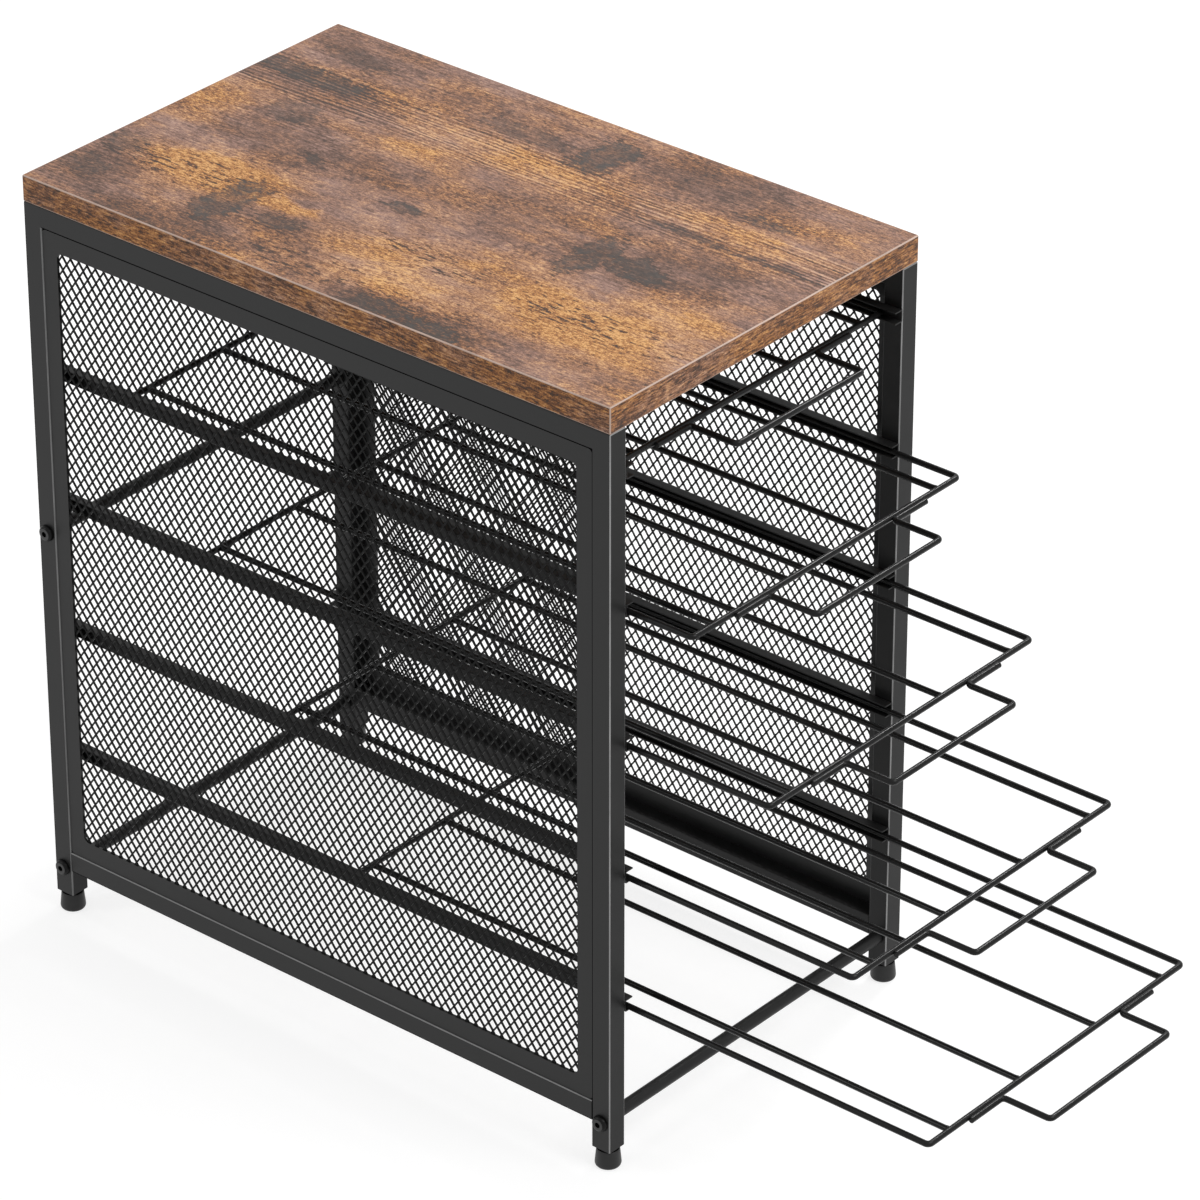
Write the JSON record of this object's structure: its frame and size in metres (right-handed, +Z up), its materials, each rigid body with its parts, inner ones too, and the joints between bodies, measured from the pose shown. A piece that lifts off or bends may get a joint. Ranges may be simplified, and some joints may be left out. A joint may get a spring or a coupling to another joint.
{
  "type": "coffee pod organizer",
  "caption": "Countertop coffee pod rack: black metal frame with mesh sides and a wood-grain top, holding wire drawers with loop handles on sliding runners.",
  "frame": {"origin": "on the table, under the middle of the cabinet, in the plane of the four feet", "axes": "+Z up, +Y to the back of the cabinet, +X to the right as seen from the front; the drawers pull out towards -Y"},
  "size_m": [0.2044, 0.5136, 0.368],
  "materials": {
    "wood_board": "rustic brown wood-grain laminate, satin",
    "coated_frame": "matte black powder coat",
    "coated_mesh": "matte black powder coat on expanded metal",
    "coated_wire": "satin black coat on steel wire",
    "black_bolt": "black oxide",
    "zinc_screw": "zinc plate",
    "plug_foot": "matte black plastic"
  },
  "bodies": {
    "cabinet": {"top_board": "wood_board", "front_left_post": "coated_frame", "back_left_post": "coated_frame", "front_right_post": "coated_frame", "back_right_post": "coated_frame", "left_top_rail": "coated_frame", "left_bottom_rail": "coated_frame", "right_top_rail": "coated_frame", "right_bottom_rail": "coated_frame", "left_mesh_panel": "coated_mesh", "right_mesh_panel": "coated_mesh", "left_runner_1": "coated_frame", "left_runner_2": "coated_frame", "left_runner_3": "coated_frame", "left_runner_4": "coated_frame", "left_runner_5": "coated_frame", "right_runner_1": "coated_frame", "right_runner_2": "coated_frame", "right_runner_3": "coated_frame", "right_runner_4": "coated_frame", "right_runner_5": "coated_frame", "front_bottom_crossbar": "coated_frame", "back_bottom_crossbar": "coated_frame", "back_middle_crossbar": "coated_frame", "front_left_foot": "plug_foot", "back_left_foot": "plug_foot", "front_right_foot": "plug_foot", "back_right_foot": "plug_foot", "frame_bolts": "black_bolt", "board_screws": "zinc_screw"},
    "drawer_1": {"drawer_1_frame": "coated_wire", "drawer_1_rod_1": "coated_wire", "drawer_1_rod_2": "coated_wire", "drawer_1_rod_3": "coated_wire", "drawer_1_rod_4": "coated_wire", "drawer_1_handle": "coated_wire"},
    "drawer_2": {"drawer_2_frame": "coated_wire", "drawer_2_rod_1": "coated_wire", "drawer_2_rod_2": "coated_wire", "drawer_2_rod_3": "coated_wire", "drawer_2_rod_4": "coated_wire", "drawer_2_handle": "coated_wire"},
    "drawer_3": {"drawer_3_frame": "coated_wire", "drawer_3_rod_1": "coated_wire", "drawer_3_rod_2": "coated_wire", "drawer_3_rod_3": "coated_wire", "drawer_3_rod_4": "coated_wire", "drawer_3_handle": "coated_wire"},
    "drawer_4": {"drawer_4_frame": "coated_wire", "drawer_4_rod_1": "coated_wire", "drawer_4_rod_2": "coated_wire", "drawer_4_rod_3": "coated_wire", "drawer_4_rod_4": "coated_wire", "drawer_4_handle": "coated_wire"},
    "drawer_5": {"drawer_5_frame": "coated_wire", "drawer_5_rod_1": "coated_wire", "drawer_5_rod_2": "coated_wire", "drawer_5_rod_3": "coated_wire", "drawer_5_rod_4": "coated_wire", "drawer_5_handle": "coated_wire"}
  },
  "joints": [
    {"name": "drawer_1_slide", "type": "slide", "parent": "cabinet", "child": "drawer_1", "axis": [0, -1, 0], "range_m": [0, 0.21]},
    {"name": "drawer_2_slide", "type": "slide", "parent": "cabinet", "child": "drawer_2", "axis": [0, -1, 0], "range_m": [-0.0424, 0.1676]},
    {"name": "drawer_3_slide", "type": "slide", "parent": "cabinet", "child": "drawer_3", "axis": [0, -1, 0], "range_m": [-0.0831, 0.1269]},
    {"name": "drawer_4_slide", "type": "slide", "parent": "cabinet", "child": "drawer_4", "axis": [0, -1, 0], "range_m": [-0.1275, 0.0825]},
    {"name": "drawer_5_slide", "type": "slide", "parent": "cabinet", "child": "drawer_5", "axis": [0, -1, 0], "range_m": [-0.1682, 0.0418]}
  ]
}
